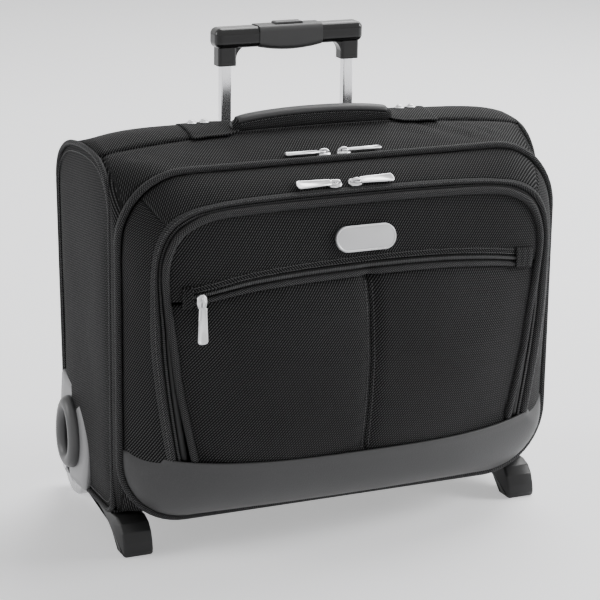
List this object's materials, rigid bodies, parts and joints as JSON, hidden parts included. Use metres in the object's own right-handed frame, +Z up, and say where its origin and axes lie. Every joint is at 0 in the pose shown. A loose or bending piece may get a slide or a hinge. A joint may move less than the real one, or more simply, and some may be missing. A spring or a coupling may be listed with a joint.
{
  "type": "rolling laptop case",
  "caption": "Soft-sided black nylon rolling laptop case with zipped front section, organiser flap, telescoping handle, padded carry handle, wheels and feet.",
  "frame": {"origin": "on the floor, under the middle of the whole object", "axes": "+Z up, the front of the case faces -Y, +X to the right seen from the front; the wheels are at the +Y corners"},
  "size_m": [0.4422, 0.2715, 0.452],
  "materials": {
    "black_nylon": "twill woven nylon",
    "piping_cord": "twill covered cord",
    "zip_tape": "fine smooth tape",
    "charcoal_leatherette": "smooth, semi matt",
    "handle_padding": "twill woven nylon over foam",
    "lining_cloth": "plain woven lining",
    "bright_tube": "polished",
    "black_plastic": "fine matt",
    "gloss_black_plastic": "satin gloss",
    "soft_rubber": "soft matt",
    "grey_plastic": "fine grained",
    "pale_plastic": "clear coat",
    "wheel_tyre": "smooth polyurethane",
    "steel": "zinc plated",
    "satin_badge": "brushed, blank",
    "satin_nickel": "satin nickel"
  },
  "bodies": {
    "case": {"back_lining": "lining_cloth", "bottom_panel": "black_nylon", "divider_strap": "zip_tape", "foot_left": "grey_plastic", "foot_right": "grey_plastic", "foot_screws": "steel", "front_gusset": "black_nylon", "handle_anchors": "charcoal_leatherette", "handle_back_board": "black_plastic", "hinge_strip": "piping_cord", "laptop_divider": "lining_cloth", "main_zip_tape": "zip_tape", "outer_tubes": "bright_tube", "rear_panel": "black_nylon", "rivets": "steel", "side_panel_left": "black_nylon", "side_panel_right": "black_nylon", "side_piping_left": "piping_cord", "side_piping_right": "piping_cord", "top_panel": "black_nylon", "tube_base_bracket": "black_plastic", "tube_collars": "black_plastic", "wheel_axles": "steel", "wheel_housing_left": "grey_plastic", "wheel_housing_right": "grey_plastic"},
    "lid": {"lid_panel": "lining_cloth", "lid_zip_tapes": "zip_tape", "lid_piping": "piping_cord", "lid_border": "black_nylon", "smooth_band": "charcoal_leatherette"},
    "flap": {"flap_upper_panel": "black_nylon", "flap_lower_left": "black_nylon", "flap_lower_right": "black_nylon", "flap_piping": "piping_cord", "badge": "satin_badge", "slash_zip": "zip_tape", "slash_welt": "black_nylon"},
    "handle_lower": {"middle_tubes": "bright_tube"},
    "handle_upper": {"inner_tubes": "bright_tube", "tube_plugs": "black_plastic", "grip_body": "gloss_black_plastic", "grip_sleeve": "soft_rubber", "button_spring": "steel"},
    "release_button": {"push_button": "black_plastic", "release_linkage": "black_plastic"},
    "wheel_left": {"tyre_left": "wheel_tyre", "hub_left": "pale_plastic"},
    "wheel_right": {"tyre_right": "wheel_tyre", "hub_right": "pale_plastic"},
    "carry_grip": {"carry_handle": "handle_padding"},
    "inner_puller_left": {"inner_puller_left": "satin_nickel"},
    "inner_puller_right": {"inner_puller_right": "satin_nickel"},
    "inner_slider_left": {"inner_slider_left": "satin_nickel"},
    "inner_slider_right": {"inner_slider_right": "satin_nickel"},
    "outer_puller_left": {"outer_puller_left": "satin_nickel"},
    "outer_puller_right": {"outer_puller_right": "satin_nickel"},
    "outer_slider_left": {"outer_slider_left": "satin_nickel"},
    "outer_slider_right": {"outer_slider_right": "satin_nickel"},
    "slash_puller": {"slash_puller": "satin_nickel"},
    "slash_slider": {"slash_slider": "satin_nickel"}
  },
  "joints": [
    {"name": "lid_open", "type": "hinge", "parent": "case", "child": "lid", "pos_m": [0, -0.0597, 0.034], "axis": [1, 0, 0], "range_deg": [0, 45]},
    {"name": "flap_open", "type": "hinge", "parent": "lid", "child": "flap", "pos_m": [0, -0.1225, 0.0921], "axis": [1, 0, 0], "range_deg": [0, 50]},
    {"name": "handle_lower_slide", "type": "slide", "parent": "case", "child": "handle_lower", "axis": [0, 0, 1], "range_m": [0, 0.25]},
    {"name": "handle_upper_slide", "type": "slide", "parent": "handle_lower", "child": "handle_upper", "axis": [0, 0, 1], "range_m": [-0.04, 0.215]},
    {"name": "button_press", "type": "slide", "parent": "handle_upper", "child": "release_button", "axis": [0, 0, -1], "range_m": [0, 0.003], "stiffness_N_per_m": 900, "springref_m": -0.002, "deforming": ["button_spring"]},
    {"name": "wheel_left_spin", "type": "hinge", "parent": "case", "child": "wheel_left", "pos_m": [-0.188, 0.1065, 0.031], "axis": [1, 0, 0], "continuous": true},
    {"name": "wheel_right_spin", "type": "hinge", "parent": "case", "child": "wheel_right", "pos_m": [0.188, 0.1065, 0.031], "axis": [1, 0, 0], "continuous": true},
    {"name": "carry_grip_tilt", "type": "hinge", "parent": "case", "child": "carry_grip", "pos_m": [0, 0.0005, 0.3745], "axis": [1, 0, 0], "range_deg": [-35, 35]},
    {"name": "outer_slider_left_run", "type": "slide", "parent": "case", "child": "outer_slider_left", "axis": [-1, 0, 0], "range_m": [0, 0.13]},
    {"name": "outer_puller_left_lift", "type": "hinge", "parent": "outer_slider_left", "child": "outer_puller_left", "pos_m": [-0.0135, -0.053, 0.3531], "axis": [0, 1, 0], "range_deg": [0, 100]},
    {"name": "inner_slider_left_run", "type": "slide", "parent": "lid", "child": "inner_slider_left", "axis": [-1, 0, 0], "range_m": [0, 0.105]},
    {"name": "inner_puller_left_lift", "type": "hinge", "parent": "inner_slider_left", "child": "inner_puller_left", "pos_m": [-0.0215, -0.09604, 0.33527], "axis": [0, 0.8548, 0.519], "range_deg": [0, 100]},
    {"name": "outer_slider_right_run", "type": "slide", "parent": "case", "child": "outer_slider_right", "axis": [1, 0, 0], "range_m": [0, 0.13]},
    {"name": "outer_puller_right_lift", "type": "hinge", "parent": "outer_slider_right", "child": "outer_puller_right", "pos_m": [0.0055, -0.053, 0.3531], "axis": [0, -1, 0], "range_deg": [0, 100]},
    {"name": "inner_slider_right_run", "type": "slide", "parent": "lid", "child": "inner_slider_right", "axis": [1, 0, 0], "range_m": [0, 0.105]},
    {"name": "inner_puller_right_lift", "type": "hinge", "parent": "inner_slider_right", "child": "inner_puller_right", "pos_m": [-0.0025, -0.09604, 0.33527], "axis": [0, -0.8548, -0.519], "range_deg": [0, 100]},
    {"name": "slash_slider_run", "type": "slide", "parent": "flap", "child": "slash_slider", "axis": [0.9991, 0, 0.0412], "range_m": [0, 0.312]},
    {"name": "slash_puller_lift", "type": "hinge", "parent": "slash_slider", "child": "slash_puller", "pos_m": [-0.157, -0.1251, 0.248], "axis": [-1, 0, 0], "range_deg": [0, 100]}
  ]
}
